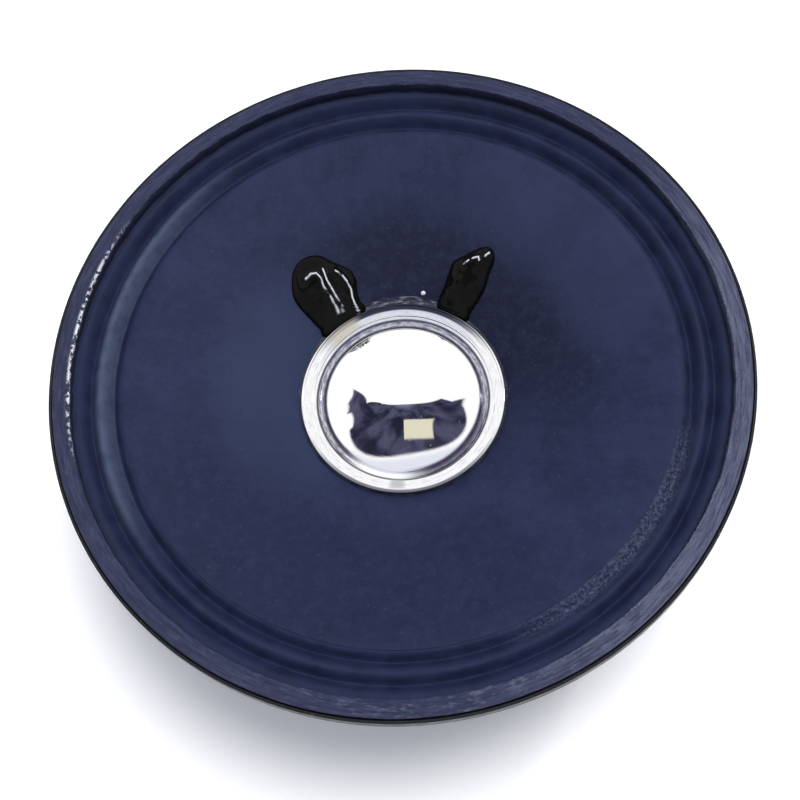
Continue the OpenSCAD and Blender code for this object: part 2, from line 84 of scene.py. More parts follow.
# Node materials
class Nodes:
    """Short ways to add nodes to a tree. An input is a value, a colour or another node's output"""

    def __init__(self, tree):
        self.tree = tree

    def feed(self, socket, value):
        if isinstance(value, bpy.types.NodeSocket):
            self.tree.links.new(value, socket)
        elif socket.type == "RGBA":
            socket.default_value = (*value, 1)
        else:
            socket.default_value = value

    def node(self, kind, inputs=None, **settings):
        made = self.tree.nodes.new("ShaderNode" + kind)
        for key, value in settings.items():
            setattr(made, key, value)
        for key, value in (inputs or {}).items():
            self.feed(made.inputs[key], value)
        return made

    def math(self, operation, a, b=0.0, clamp=False):
        return self.node("Math", {0: a, 1: b}, operation=operation, use_clamp=clamp).outputs[0]

    def times(self, total, *others):
        for other in others:
            total = self.math("MULTIPLY", total, other)
        return total

    def length(self, x, y):
        return self.math("SQRT", self.math("ADD", self.times(x, x), self.times(y, y)))

    def split(self, vector):
        return self.node("SeparateXYZ", {0: vector}).outputs

    def join(self, x, y, z=0.0):
        return self.node("CombineXYZ", {0: x, 1: y, 2: z}).outputs[0]

    def band(self, value, low, high, bottom=0.0, top=1.0):
        """From bottom to top in a smooth step, while value goes from low to high"""
        return self.node(
            "MapRange",
            {"Value": value, "From Min": low, "From Max": high, "To Min": bottom, "To Max": top},
            interpolation_type="SMOOTHSTEP",
        ).outputs[0]

    def mix(self, share, a, b):
        return self.node("Mix", {0: share, 6: a, 7: b}, data_type="RGBA").outputs[2]


class Paint(Nodes):
    """A material with procedural detail, in the object's own coordinates"""

    def __init__(self, name, specular=0.5, **sockets):
        # The frame may hold a material of this name, and then Blender numbers the new one
        self.name = name
        self.material = bpy.data.materials.new(name)
        self.material.use_nodes = True
        super().__init__(self.material.node_tree)
        self.shader = self.tree.nodes["Principled BSDF"]
        self.shader.inputs["Specular IOR Level"].default_value = specular
        for socket, value in sockets.items():
            self.shader.inputs[socket.replace("_", " ")].default_value = value

    def crest(self):
        return self.node("Attribute", attribute_name="crest").outputs["Fac"]

    def coat(self, share, a, b):
        """The first colour: a where share is 0, and b where it is 1"""
        self.tone = self.mix(share, a, b)

    def stain(self, color, *shares):
        """color laid over what is there, by the product of the shares"""
        self.tone = self.mix(self.times(*shares), self.tone, color)

    def finish(self, rough, *bumps):
        """Each bump is a height that runs from 0 to 1, its depth in millimetres and its strength"""
        normal = {}
        for height, depth, strength in bumps:
            inputs = {"Height": height, "Distance": depth * MM, "Strength": strength}
            normal = {"Normal": self.node("Bump", {**inputs, **normal}).outputs[0]}
        for socket, value in {"Base Color": self.tone, "Roughness": rough, **normal}.items():
            self.feed(self.shader.inputs[socket], value)
        return self

    def place(self, scale=None):
        coordinates = self.node("TexCoord").outputs["Object"]
        if not scale:
            return coordinates
        return self.node("Mapping", {"Vector": coordinates, "Scale": scale}).outputs[0]

    def noise(self, size, detail=4.0, rough=0.55, vector=None, twist=0.0):
        """Noise whose features are about size millimetres wide"""
        return self.node(
            "TexNoise",
            {"Vector": vector or self.place(), "Scale": 1 / (size * MM), "Detail": detail,
             "Roughness": rough, "Distortion": twist},
        ).outputs[0]

    def polar(self):
        """The angle round Z, as metres along the rim, the radius and the height"""
        x, y, z = self.split(self.place())
        return self.times(self.math("ARCTAN2", y, x), 0.038), self.length(x, y), z

    def swirl(self, size, detail, rough, round_it, across, flat=False):
        """Noise that runs round the Z axis, with its coordinates scaled round it and across it"""
        around, radius, z = self.polar()
        vector = self.join(self.times(around, round_it), self.times(radius, across), 0.0 if flat else z)
        return self.noise(size, detail, rough, vector)

    def patch(self, degrees, spread, radius, width):
        """1 near a place on a ring, fading at about spread degrees round it and width across it"""
        x, y, z = self.split(self.place())
        aim = radians(degrees)
        out = self.length(x, y)
        ahead = self.math("ADD", self.times(x, cos(aim)), self.times(y, sin(aim)))
        far, near = (cos(radians(spread * k)) for k in (1.5, 0.5))
        round_it = self.band(self.math("DIVIDE", ahead, out), far, near)
        return self.times(round_it, self.ring(out, radius, width))

    def ring(self, out, radius, width, soft=0.5):
        """1 where the way out from the axis is near radius, fading at about width, in millimetres"""
        off = self.math("ABSOLUTE", self.math("SUBTRACT", out, radius * MM))
        return self.band(off, width * (1 + soft) * MM, width * (1 - soft) * MM)


def cone_paper():
    p = Paint("cone_paper", 0.12)
    cloud = p.noise(6, 5, 0.6)
    streak = p.swirl(1.8, 4, 0.6, 2, 0.4)
    fibre = p.noise(0.3, 6, 0.72, twist=1.2)
    p.coat(p.band(cloud, 0.3, 0.7), (0.0145, 0.02, 0.057), (0.0215, 0.029, 0.078))
    p.stain((0.028, 0.037, 0.09), p.band(streak, 0.45, 0.75, 0, 0.3))
    # Darker on the far side of the cone, a little to the right, near the cap
    p.stain((0.007, 0.0075, 0.021), p.patch(53, 62, 15, 6.8), 0.72)
    # Painted sheen: the cone paler on its left, round the middle of its slope
    p.stain((0.037, 0.05, 0.112), p.patch(180, 45, 15, 6), 0.55)
    # Painted shade: the cone darker on its near side, a little to the left
    p.stain((0.0105, 0.015, 0.044), p.patch(-112, 48, 24, 8.5), 0.55)
    # Painted light: the outer cone paler on the far right
    p.stain((0.034, 0.043, 0.1), p.patch(38, 26, 25.5, 5.5), 0.4)
    p.stain((0.03, 0.039, 0.088), p.band(p.noise(1.3, 5, 0.7), 0.42, 0.68, 0, 0.35))
    p.stain((0.075, 0.09, 0.15), p.band(p.noise(0.4, 3, 0.6), 0.64, 0.74, 0, 0.35))
    return p.finish(p.band(fibre, 0.3, 0.7, 0.5, 0.7), (cloud, 0.1, 0.4), (fibre, 0.04, 0.8))


def surround_paper():
    p = Paint("surround_paper", 0.12)
    cloud, grain = p.noise(3, 5, 0.65), p.noise(0.25, 5, 0.7)
    run = p.swirl(0.9, 4, 0.6, 0.25, 1.6)
    p.coat(p.band(cloud, 0.35, 0.65), (0.0135, 0.018, 0.05), (0.0205, 0.027, 0.072))
    p.stain((0.038, 0.047, 0.1), p.band(run, 0.5, 0.78, 0, 0.35))
    # Painted highlight: pale specks on the near right of the surround's inner groove
    speckled_highlight = p.band(p.noise(0.32, 5, 0.75), 0.4, 0.64)
    p.stain((0.14, 0.16, 0.25), speckled_highlight, p.patch(-43, 22, 31.8, 0.8), 0.75)
    # Painted highlight: the ridge paler on the left, in uneven patches
    ridge_highlight = p.band(p.noise(1.4, 3, 0.5), 0.25, 0.6, 0.55, 1)
    p.stain((0.105, 0.132, 0.215), ridge_highlight, p.patch(170, 34, 33, 1), 0.6)
    return p.finish(p.band(cloud, 0.3, 0.7, 0.45, 0.7), (run, 0.05, 0.6), (grain, 0.03, 0.8))


def gasket_fibre():
    p = Paint("gasket_fibre", 0.12)
    around, radius, z = p.polar()
    streak, grain = p.swirl(0.8, 6, 0.7, 0.22, 3), p.noise(0.22, 6, 0.75)
    p.coat(p.band(streak, 0.3, 0.7), (0.024, 0.027, 0.06), (0.056, 0.062, 0.12))
    p.stain((0.032, 0.036, 0.075), p.band(p.noise(4, 4, 0.6), 0.4, 0.7, 0, 0.6))
    # Painted shade: the gasket darker on its walls, below its top face
    p.stain((0.012, 0.014, 0.034), p.band(z, 0.0326, 0.032, 0, 0.7))
    # Painted sheen: the gasket paler on its right, in streaks
    bright = p.patch(-20, 42, 37, 4)
    p.stain((0.15, 0.163, 0.245), bright, p.band(streak, 0.35, 0.65, 0.15, 0.8))
    # Pale fibre flecks on the top face, and painted sheen in that more of them lie on the near right
    flecks = p.band(p.swirl(0.9, 6, 0.8, 0.5, 2), 0.5, 0.66)
    near = p.math("ADD", p.patch(-50, 50, 37, 4), 0.25, True)
    p.stain((0.13, 0.14, 0.21), flecks, p.band(z, 0.0324, 0.0328), near)
    # Pale fuzz on the inner top edge, painted as a highlight only where the top is paler on the right
    rim = p.times(p.band(radius, 0.0366, 0.0362), p.band(z, 0.0325, 0.0328))
    p.stain((0.26, 0.28, 0.38), rim, p.band(grain, 0.48, 0.66), bright, 0.7)
    glint = p.times(rim, p.band(p.noise(0.45, 3, 0.6), 0.47, 0.53))
    p.stain((0.9, 0.9, 0.95), glint, p.patch(170, 17, 36.4, 2))
    return p.finish(0.8, (streak, 0.08, 0.9), (grain, 0.07, 0.9))


def black_paint():
    p = Paint("black_paint", 0.2, Coat_Weight=0.08, Coat_Roughness=0.1)
    wear = p.band(p.math("ADD", p.noise(0.5, 5, 0.7), p.times(p.noise(4, 2, 0.5), 0.4)), 0.84, 0.9)
    p.coat(wear, (0.006, 0.006, 0.009), (0.045, 0.046, 0.052))
    rough = p.band(p.noise(2.5, 4, 0.6), 0.3, 0.7, 0.25, 0.42)
    return p.finish(rough, (p.noise(0.7, 2, 0.5), 0.02, 0.6))


def polished_aluminium():
    p = Paint("polished_aluminium", Metallic=1)
    around, radius, z = p.polar()
    lines = p.swirl(0.12, 3, 0.6, 0.01, 1, True)
    scratch = p.noise(0.2, 2, 0.5, p.place((1, 0.06, 1)), 0.3)
    streak = p.swirl(0.5, 4, 0.6, 0.12, 2, True)
    flange = p.band(radius, 0.01, 0.0102)
    p.coat(p.times(flange, 0.75), (0.96, 0.96, 0.97), (0.9, 0.9, 0.92))
    p.stain((0.5, 0.51, 0.6), p.band(streak, 0.42, 0.72), flange, 0.4)
    # The near side of the channel is clean
    clear = p.math("SUBTRACT", 1, p.patch(-105, 24, 9.35, 4))
    grime = p.times(p.ring(radius, 9.45, 0.55, 0.4), clear, p.band(streak, 0.3, 0.65, 0.35, 0.95))
    p.stain((0.16, 0.16, 0.25), grime)
    p.stain((0.045, 0.045, 0.085), p.ring(radius, 9.1, 0.22, 0.4), clear, 0.8)
    p.stain((0.03, 0.03, 0.055), p.ring(radius, 9.95, 0.12, 0.4), 0.85)
    p.stain((0.06, 0.05, 0.09), p.patch(-50, 32, 9.25, 0.45), 0.75)
    # The outer flange is dark at the far and at the near side
    far, near = p.patch(86, 44, 11.5, 10), p.patch(-92, 48, 11.5, 10)
    p.stain((0.02, 0.02, 0.045), far, p.band(radius, 0.01095, 0.01115), 0.97)
    p.stain((0.05, 0.05, 0.09), near, p.band(radius, 0.0113, 0.01145), 0.8)
    p.stain((0.72, 0.64, 0.46), p.patch(127, 10, 10.9, 0.6), 0.7)
    p.stain((0.45, 0.47, 0.5), p.patch(-96.5, 4, 10.6, 0.6), 0.8)
    rough = p.math("ADD", p.band(p.noise(2, 4, 0.6), 0.3, 0.7, 0.008, 0.022), p.times(grime, 0.22))
    rough = p.math("ADD", rough, p.band(scratch, 0.68, 0.76, 0, 0.08))
    return p.finish(rough, (p.noise(1.8, 2, 0.5), 0.0012, 0.2), (lines, 0.0005, 0.2))


def clear_glue():
    p = Paint("clear_glue", 0.3, IOR=1.48)
    p.coat(p.band(p.noise(1.2, 4, 0.6), 0.35, 0.7), (0.014, 0.016, 0.034), (0.03, 0.034, 0.062))
    line = p.swirl(0.35, 4, 0.6, 0.1, 2, True)
    # Painted highlights: thin pale lines on the glue's far side
    p.stain((0.26, 0.27, 0.36), p.patch(92, 40, 12.3, 0.6), p.band(line, 0.48, 0.7))
    # Painted glint: the drop beside the bead is pale
    p.stain((0.86, 0.87, 0.92), p.crest())
    return p.finish(0.14, (p.noise(0.9, 3, 0.5), 0.05, 0.5))


def black_glue():
    p = Paint("black_glue", 0.1, IOR=1.45)
    p.coat(p.band(p.noise(1.5, 3, 0.5), 0.3, 0.7), (0.003, 0.003, 0.003), (0.006, 0.006, 0.005))
    # Painted highlights: the tops of the sharp ridges are pale, in broken lines
    p.stain((0.82, 0.83, 0.92), p.crest(), p.band(p.noise(1.1, 2, 0.5), 0.36, 0.5))
    rough = p.band(p.noise(0.8, 3, 0.5), 0.3, 0.7, 0.05, 0.09)
    return p.finish(rough, (p.noise(0.5, 3, 0.6), 0.008, 0.4))


def turned_steel(name, tone, rough):
    p = Paint(name, Metallic=1)
    turned = p.swirl(0.1, 4, 0.65, 0.012, 1)
    p.coat(p.band(p.noise(6, 5, 0.6), 0.35, 0.7), tone, tuple(0.72 * c for c in tone))
    rough = p.band(turned, 0.3, 0.7, rough - 0.07, rough + 0.1)
    return p.finish(rough, (p.noise(0.6, 4, 0.6), 0.01, 0.5), (turned, 0.012, 0.7))


def ferrite():
    p = Paint("ferrite", 0.6)
    grain = p.noise(0.18, 5, 0.7)
    ground = p.noise(0.12, 3, 0.6, p.place((0.05, 1, 1)))
    p.coat(p.band(p.noise(3, 5, 0.65), 0.35, 0.7), (0.028, 0.029, 0.031), (0.055, 0.057, 0.06))
    p.stain((0.11, 0.115, 0.12), p.band(grain, 0.62, 0.7, 0, 0.5))
    rough = p.band(grain, 0.3, 0.7, 0.48, 0.68)
    return p.finish(rough, (ground, 0.008, 0.5), (grain, 0.02, 0.7))


def phenolic_board():
    p = Paint("phenolic_board", 0.5)
    layer = p.noise(0.3, 3, 0.6, p.place((0.05, 0.4, 3)))
    mottle = p.noise(0.8, 5, 0.65)
    p.coat(p.band(mottle, 0.3, 0.7), (0.105, 0.045, 0.018), (0.19, 0.09, 0.038))
    p.stain((0.07, 0.03, 0.014), p.band(layer, 0.45, 0.7, 0, 0.6))
    rough = p.band(mottle, 0.3, 0.7, 0.32, 0.5)
    return p.finish(rough, (p.noise(0.3, 4, 0.6), 0.01, 0.5), (layer, 0.03, 0.5))


def bare_metal(name, tone, dark, rough, grain_size=0.5):
    p = Paint(name, Metallic=1)
    grain = p.noise(grain_size, 4, 0.6)
    p.coat(p.band(p.noise(1.6, 5, 0.65), 0.4, 0.75), tone, dark)
    return p.finish(p.band(grain, 0.3, 0.7, rough - 0.08, rough + 0.12), (grain, 0.012, 0.6))


def coil_paper():
    p = Paint("coil_paper", 0.35)
    fibre = p.noise(0.35, 6, 0.7, p.place((1, 1, 0.3)))
    p.coat(p.band(fibre, 0.3, 0.7), (0.3, 0.17, 0.075), (0.46, 0.3, 0.15))
    return p.finish(0.75, (fibre, 0.02, 0.7))


def spider_cloth():
    p = Paint("spider_cloth", 0.4, Sheen_Weight=0.15, Sheen_Roughness=0.5)
    x, y, z = p.split(p.place())
    thread = TAU / (0.42 * MM)
    warp, weft = (p.math("SINE", p.times(side, thread)) for side in (x, y))
    weave = p.times(warp, weft)
    mesh = p.math("MAXIMUM", p.math("ABSOLUTE", warp), p.math("ABSOLUTE", weft))
    p.coat(p.band(weave, -0.6, 0.6), (0.2, 0.095, 0.026), (0.4, 0.225, 0.075))
    p.stain((0.07, 0.03, 0.01), p.band(mesh, 0.5, 0.2, 0, 0.8))
    p.stain((0.27, 0.135, 0.04), p.band(p.noise(3, 4, 0.6), 0.4, 0.7, 0, 0.4))
    rough = p.band(p.noise(2, 3, 0.5), 0.3, 0.7, 0.45, 0.7)
    return p.finish(rough, (p.math("ADD", weave, mesh), 0.05, 0.8))


FINISHES = {p.name: p.material for p in (
    cone_paper(), surround_paper(), gasket_fibre(), black_paint(), polished_aluminium(), clear_glue(),
    black_glue(), turned_steel("zinc_plated_steel", (0.58, 0.59, 0.6), 0.34), ferrite(),
    turned_steel("rivet_steel", (0.5, 0.51, 0.52), 0.36), phenolic_board(), coil_paper(), spider_cloth(),
    bare_metal("brass_rivet", (0.66, 0.48, 0.2), (0.36, 0.24, 0.1), 0.3),
    bare_metal("tinned_brass", (0.74, 0.74, 0.72), (0.5, 0.5, 0.49), 0.26),
    bare_metal("solder", (0.66, 0.67, 0.7), (0.42, 0.43, 0.45), 0.22, 0.9),
    bare_metal("copper_braid", (0.78, 0.36, 0.18), (0.42, 0.16, 0.07), 0.34, 0.12),
    bare_metal("enamelled_copper", (0.52, 0.15, 0.05), (0.34, 0.08, 0.025), 0.22, 0.3),
)}


# Outlines and meshes
def between(value, start, end):
    """0 at start and 1 at end, and no less or more beyond them"""
    return np.clip((value - start) / (end - start), 0, 1)


def smooth(share):
    return share * share * (3 - 2 * share)


def unit(rows):
    return rows / norm(rows, axis=1)[:, None]


def on_plan(r, a):
    """Points of the plan from radii and angles"""
    return np.stack([r * np.cos(a), r * np.sin(a)], -1)


def even_angles(steps):
    return np.arange(steps) * TAU / steps


def circle(r, z, angles, centre=(0, 0)):
    """Points round an upright axis. r and z are numbers, or have a value for each angle"""
    return np.stack([centre[0] + r * np.cos(angles), centre[1] + r * np.sin(angles), z + 0 * angles], 1)


def corner_curve(before, corner, after, reach, parts):
    """A corner turned into a short curve, which starts and ends at two distances from it"""
    a, c = (corner + (p - corner) / norm(p - corner) * far for p, far in zip((before, after), reach))
    return [(1 - t) ** 2 * a + 2 * t * (1 - t) * corner + t * t * c for t in np.linspace(0, 1, parts + 1)]


def bend(points, radius, parts=4):
    """A line whose corners are turned into short curves"""
    points = [np.array(p, float) for p in points]
    line = [points[0]]
    for before, corner, after in zip(points, points[1:], points[2:]):
        reach = [min(radius, 0.45 * norm(p - corner)) for p in (before, after)]
        line.extend(corner_curve(before, corner, after, reach, parts))
    return np.array(line + [points[-1]])


def resample(line, step):
    """The same line with points about step apart, its own points kept"""
    made = [line[0]]
    for a, b in zip(line, line[1:]):
        parts = max(1, round(norm(b - a) / step))
        made.extend(a + (b - a) * k / parts for k in range(1, parts + 1))
    return np.array(made)


def closed_outline(corners, step):
    return resample(np.array(corners + corners[:1]), step)[:-1]


def walk(line, places):
    """The distances that places gives for a line's whole length, and the points there"""
    run = np.concatenate([[0], np.cumsum(norm(np.diff(line, axis=0), axis=1))])
    at = places(run[-1])
    return at, np.stack([np.interp(at, run, side) for side in line.T], 1)


def normals(line):
    """Unit normals on the left of a line"""
    run = unit(np.gradient(line, axis=0))
    return np.stack([-run[:, 1], run[:, 0]], 1)


def sheet(line, thickness, ends=4):
    """The closed outline of a sheet along a line, with rounded ends"""
    half, side = thickness / 2, normals(line)

    def round_end(point, away):
        along = np.array([away[1], -away[0]])
        turns = np.linspace(0, pi, ends + 2)[1:-1]
        return [point + half * (cos(a) * away + sin(a) * along) for a in turns]

    over, under = line + half * side, (line - half * side)[::-1]
    return np.vstack([over, round_end(line[-1], side[-1]), under, round_end(line[0], -side[0])])


def link_piece(name, mesh, work, sharp):
    """An object of the mesh that bmesh has worked on, its faces turned outwards"""
    bmesh.ops.recalc_face_normals(work, faces=work.faces)
    work.to_mesh(mesh)
    work.free()
    mesh.shade_smooth()
    mesh.set_sharp_from_angle(angle=radians(sharp))
    return add_object(name, mesh)


def build(name, grids, sharp=35):
    """A mesh object from the points, in millimetres, and faces of some grids, its loose ends joined"""
    points, faces = [], []
    for added, around in grids:
        start = len(points)
        points.extend((added * MM).tolist())
        faces.extend(tuple(start + v for v in face) for face in around)
    mesh = bpy.data.meshes.new(name)
    mesh.from_pydata(points, [], faces)
    work = bmesh.new()
    work.from_mesh(mesh)
    bmesh.ops.remove_doubles(work, verts=work.verts, dist=1e-7)
    return link_piece(name, mesh, work, sharp)


def dress(piece, finish, body=None, *nodes):
    piece.data.materials.clear()
    piece.data.materials.append(FINISHES[finish])
    if body:
        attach(piece, body)
    if nodes:
        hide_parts(*nodes)
    return piece


def grid(rows, wrap=False):
    """The points of some rings, and the faces between them: from the last to the first too, with wrap"""
    count, columns = len(rows), len(rows[0])
    faces = []
    for i in range(count if wrap else count - 1):
        a, b = i * columns, (i + 1) % count * columns
        for j in range(columns):
            k = (j + 1) % columns
            faces.append((a + j, a + k, b + k, b + j))
    return np.vstack(rows), faces


def spin(name, outline, steps=360, warp=None, sharp=35):
    """Turns an outline of (r, z) about Z: closed if it stays off the axis, else from axis to axis"""
    outline = np.asarray(outline, float)
    r, z, angles = np.broadcast_arrays(outline[:, :1], outline[:, 1:], even_angles(steps))
    if warp:
        r, z = warp(r, z, angles)
    rows = np.stack([r * np.cos(angles), r * np.sin(angles), z], -1)
    return build(name, [grid(rows, wrap=outline[0][0] > 1e-6)], sharp)


def points_of(piece):
    return np.array([v.co for v in piece.data.vertices]) / MM


def mark_crest(piece, values):
    """How much painted glint each point carries, for the material"""
    attribute = piece.data.attributes.new("crest", "FLOAT", "POINT")
    attribute.data.foreach_set("value", values.astype(np.float32))


def ring_noise(angles, seed, low, high):
    """A smooth random value round a ring, between about -1 and 1, with waves from low to high turns"""
    random = np.random.default_rng(seed)
    waves = random.integers(low, high + 1, 24)
    total = sum(np.sin(k * angles + random.uniform(0, TAU)) for k in waves)
    return total / sqrt(len(waves) / 2) / 2


def perlin(x, y, z, size, seed=0):
    """Perlin noise at many points, for features about size across"""
    flat = np.stack([np.ravel(x), np.ravel(y), np.ravel(z)], 1) / size + seed * 17.3
    return np.array([noise.noise(p) for p in flat.tolist()]).reshape(np.shape(x))


def lumps(r, z, a, size, seed):
    """The same noise for points given by radius, height and angle"""
    return perlin(r * np.cos(a), r * np.sin(a), z, size, seed)


def flex(piece, share):
    """Bakes the piece's placement into its mesh and works out a weight for each point from share, 0 on the frame
    and 1 on the cone; the weights are not used
    """
    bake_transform(piece)
    weights = smooth(share(points_of(piece)))


# Heights and radii that the pieces share, as in the part's source
NECK_R, NECK_Z, CONE_R, CONE_Z, CONE_T, FLARE = 7.42, 20.25, 30.2, 30.5, 0.4, 0.7
CAP_R, DOME_R, DOME_H, DOME_NOSE, DOME_FOOT, CAP_T = 11.75, 9.1, 3.3, 1.6, 0.35, 0.35
CHANNEL_OUT, FLANGE_IN, FLANGE_SLOPE, CAP_LIFT = 9.65, 9.9, radians(28), 0.735
ARM_SLOPE = radians(26.906)
SPIDER_Z, SURROUND_Z = 19.175, 31.3
MAGNET_Z, MAGNET_TOP, TOP_PLATE_TOP, POLE_TOP = 3.5, 11.5, 15.0, 15.2


def cone_z(r):
    u = (CONE_R - r) / (CONE_R - NECK_R)
    return CONE_Z - (CONE_Z - NECK_Z) * (np.exp(FLARE * u) - 1) / (exp(FLARE) - 1)


def cone_slope(r):
    return np.arctan((cone_z(r + 0.05) - cone_z(r - 0.05)) / 0.1)


def on_cone(r, h):
    """The point h outside the cone's middle line at radius r, as (r, z)"""
    return r - h * np.sin(cone_slope(r)), cone_z(r) + h * np.cos(cone_slope(r))


def over_cone(r, h):
    """The height of a surface that runs h outside the cone's middle line, at radius r"""
    return cone_z(r) + h / np.cos(cone_slope(r))


# Cone
def make_cone():
    """The shell's rim thins out over the surround, so that no step shows"""
    half, foot_z = CONE_T / 2, 19.7
    top = [(NECK_R + half, foot_z)] + [on_cone(r, half) for r in np.linspace(NECK_R, 30.0, 110)]
    rim = bend([top[-1], (30.35, 30.72), (30.78, 30.74), (30.84, 30.72)], 0.2, 3)[1:]
    under = bend([(30.84, 30.72), (30.62, 30.66), (30.2, 30.26), on_cone(30.0, -half)], 0.1, 2)[1:]
    low = [on_cone(r, -half) for r in np.linspace(29.9, NECK_R + 0.3, 110)]
    foot = [(NECK_R + x, foot_z - y) for x, y in ((half, 0), (0.1, 0.05), (-0.1, 0.05), (-half, 0))]
    wall = [(NECK_R - half, z) for z in np.linspace(19.8, NECK_Z, 4)]

    def warp(r, z, a):
        free = between(r, 8.0, 11.0) * between(r, 30.0, 28.5)
        return r, z + free * (0.035 * lumps(r, z, a, 7.0, 1) + 0.01 * lumps(r, z, a, 1.6, 2))

    piece = spin("cone_shell", np.vstack([top[1:], rim, under, low, foot, wall]), 360, warp)
    dress(piece, "cone_paper", "cone_assembly", "cone")


# Surround
def make_surround():
    line = [on_cone(r, -0.42) for r in np.linspace(29.0, 30.4, 8)]
    # Two grooves, which climb from the cone's rim to the gasket
    for u in np.linspace(0, 1, 61):
        depth = 1.1 * (1 - cos(2 * TAU * u)) / 2
        line.append((30.8 + 4.8 * u, SURROUND_Z - 0.8 * (1 - u) - depth - 0.07 * max(0, 1 - 12 * u)))
    line += [(r, SURROUND_Z) for r in (36.0, 36.6, 37.2, 37.35)]

    def warp(r, z, a):
        free = between(r, 30.6, 31.2) * between(r, 36.0, 35.4)
        return r, z + free * (0.05 * lumps(r, z, a, 5.0, 3) + 0.02 * lumps(r, z, a, 0.9, 4))

    piece = spin("surround_skin", sheet(np.array(line), 0.4), 480, warp)
    dress(piece, "surround_paper", None, "surround")
    flex(piece, lambda p: between(np.hypot(p[:, 0], p[:, 1]), 35.5, 31.0))


# Gasket
def make_gasket():
    outline = []
    for x, z, turn in ((36.27, 32.88, 90), (36.27, 31.62, 180), (37.7, 31.6, 270), (37.92, 32.88, 0)):
        turns = [radians(turn + a) for a in (0, 30, 60, 90)]
        outline.extend((x + 0.11 * cos(a), z + 0.11 * sin(a)) for a in turns)

    def warp(r, z, a):
        inner, upper = between(r, 36.5, 36.2), between(z, 32.7, 32.95)
        rough = lumps(r, z * 3, a, 0.35, 5)
        r = r + inner * (0.05 * ring_noise(a, 7, 6, 90) + 0.1 * rough)
        return r, np.minimum(z + upper * (0.03 * ring_noise(a, 8, 4, 60) - 0.05 * np.abs(rough)), 33.0)

    piece = spin("gasket_band", closed_outline(outline, 0.16), 1440, warp, 50)
    dress(piece, "gasket_fibre", "frame", "gasket_ring")


# Spider
def make_spider():
    line = [(r, SPIDER_Z) for r in (7.4, 7.7, 8.1)]
    for u in np.linspace(0, 1, 73):
        fade = min(1, 6 * u, 6 * (1 - u))
        line.append((8.62 + 7.43 * u, SPIDER_Z + 0.6 * fade * sin(3 * TAU * u)))
    line += [(r, SPIDER_Z) for r in np.linspace(16.4, 18.6, 8)]
    piece = spin("spider_disc", sheet(bend(line, 0.1, 1), 0.35), 300)
    dress(piece, "spider_cloth", None, "spider")
    flex(piece, lambda p: between(np.hypot(p[:, 0], p[:, 1]), 15.9, 8.8))


# Dust cap and its glue
def flange_z(r):
    return over_cone(CAP_R, CAP_LIFT) - (CAP_R - r) * tan(FLANGE_SLOPE)


def make_cap():
    base, edge = over_cone(CHANNEL_OUT, CAP_LIFT), DOME_R - DOME_FOOT
    drop = lambda r: hypot(1, r / DOME_NOSE) - 1
    deep = DOME_H - DOME_FOOT
    dome = [(r, base + DOME_H - deep * drop(r) / drop(edge)) for r in np.linspace(0, edge, 90)]
    # The flange has a faint crease halfway, which shows as a thin line
    crease = [(10.45, 0.0), (10.62, -0.045), (10.8, 0.0)]
    flange = [(r, flange_z(r) + lift) for r, lift in [(FLANGE_IN, 0)] + crease + [(CAP_R, 0)]]
    foot = bend([dome[-1], (DOME_R, base), (CHANNEL_OUT, base)] + flange, 0.14, 5)
    line = resample(np.vstack([dome[:-1], foot]), 0.15)
    line = line[line[:, 0] < CAP_R - 0.12]
    # The round end on the axis is left out, and the outline starts and ends there
    ends = 6
    outline = sheet(line, CAP_T, ends)[:-ends]
    outline[0], outline[-1] = (0, line[0][1] + CAP_T / 2), (0, line[0][1] - CAP_T / 2)
    dress(spin("dust_cap_shell", outline, 360), "polished_aluminium", "cone_assembly", "dust_cap")


def make_cap_glue():
    steps, rings, half, sink = 360, 9, CONE_T / 2, 0.03
    angles = even_angles(steps)
    # The bead spreads further past the flange on the +Y side
    off = (90 - np.degrees(angles) + 180) % 360 - 180
    spread = 0.42 + 0.75 * np.exp(-((off / 42) ** 2)) + 0.12 * ring_noise(angles, 11, 3, 26)
    rows = []
    for k in range(rings):
        t = k / rings
        r = CAP_R - 0.35 + (spread + 0.35) * t
        floor = over_cone(r, half)
        rise = (flange_z(CAP_R) - 0.24 - floor[0]) * (1 - t) ** 1.8
        rows.append(circle(r, floor + np.maximum(rise, 0), angles))
    inner = CAP_R - 1.3
    for r, lift in ((CAP_R + spread, -sink), (CAP_R + 0.1, -sink), (inner, -sink), (inner, 0.3)):
        rows.append(circle(r, over_cone(r, half) + lift, angles))
    # A drop beside the bead, on the cone, with a painted glint that makes it pale
    drop_r, drop_angle, sides = 13.2, radians(90 - 13.9), 20
    drop_at, turn = on_plan(drop_r, drop_angle), even_angles(sides)
    drop = []
    for out, up in ((0.0, -0.04), (0.26, -0.04), (0.3, 0.04), (0.24, 0.15), (0.12, 0.22), (0.0, 0.24)):
        x, y = drop_at[0] + out * np.cos(turn), drop_at[1] + 0.8 * out * np.sin(turn)
        drop.append(np.stack([x, y, over_cone(np.hypot(x, y), half) + up], 1))
    piece = build("cap_glue_bead", [grid(rows, wrap=True), grid(drop)], 60)
    flat = points_of(piece)[:, :2]
    out = np.hypot(flat[:, 0], flat[:, 1])
    mark_crest(piece, (out > drop_r - 0.35) & (norm(flat - drop_at, axis=1) < 0.4))
    dress(piece, "clear_glue", "cone_assembly", "cap_glue")


